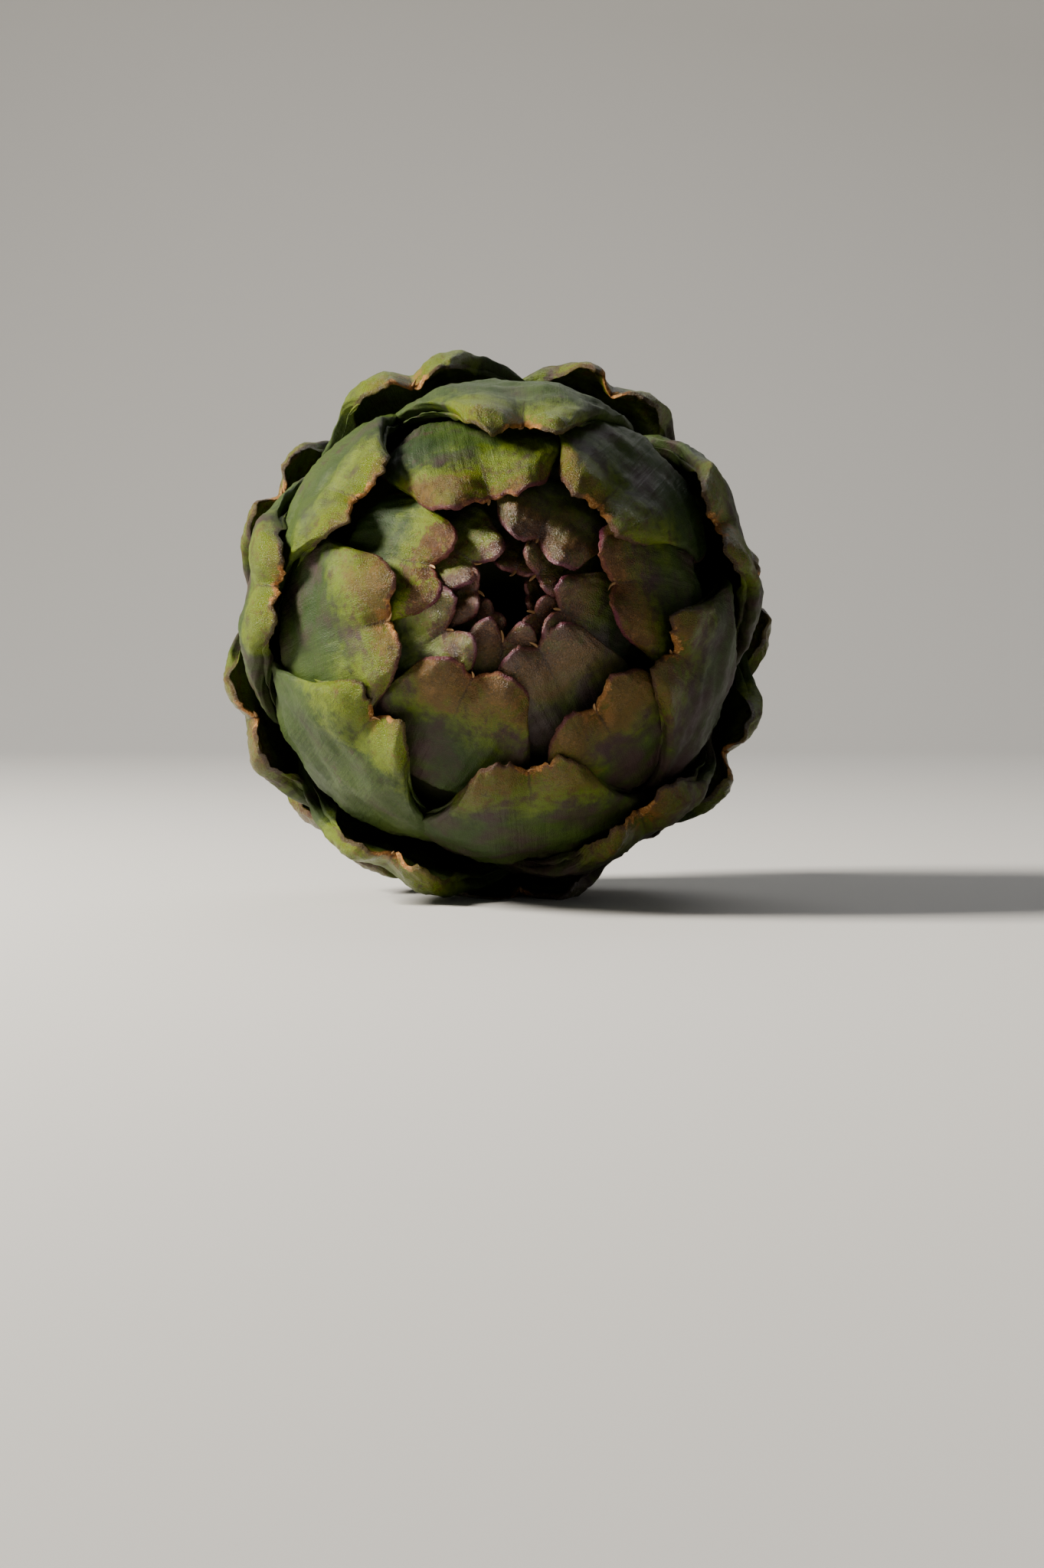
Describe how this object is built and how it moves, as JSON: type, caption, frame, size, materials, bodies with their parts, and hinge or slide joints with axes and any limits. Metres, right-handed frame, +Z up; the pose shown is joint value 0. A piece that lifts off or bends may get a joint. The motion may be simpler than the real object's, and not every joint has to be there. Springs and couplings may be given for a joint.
{
  "type": "globe artichoke",
  "caption": "Whole globe artichoke lying on its side: overlapping notched bracts spiral round a fleshy heart, with a short cut stem stub.",
  "frame": {"origin": "centre of the bounding box at the surface that the head lies on", "axes": "+Z up, the tip of the head towards -Y, the cut stem towards +Y"},
  "size_m": [0.0952, 0.1016, 0.0936],
  "materials": {
    "bract_green": "waxy olive green leaf skin, purple-brown and finely downy towards the tips",
    "stem_fibre": "matt fibrous stem, pale cut face browned by the air"
  },
  "bodies": {
    "root": {"bract_head": "bract_green", "stem_stub": "stem_fibre"}
  },
  "joints": []
}
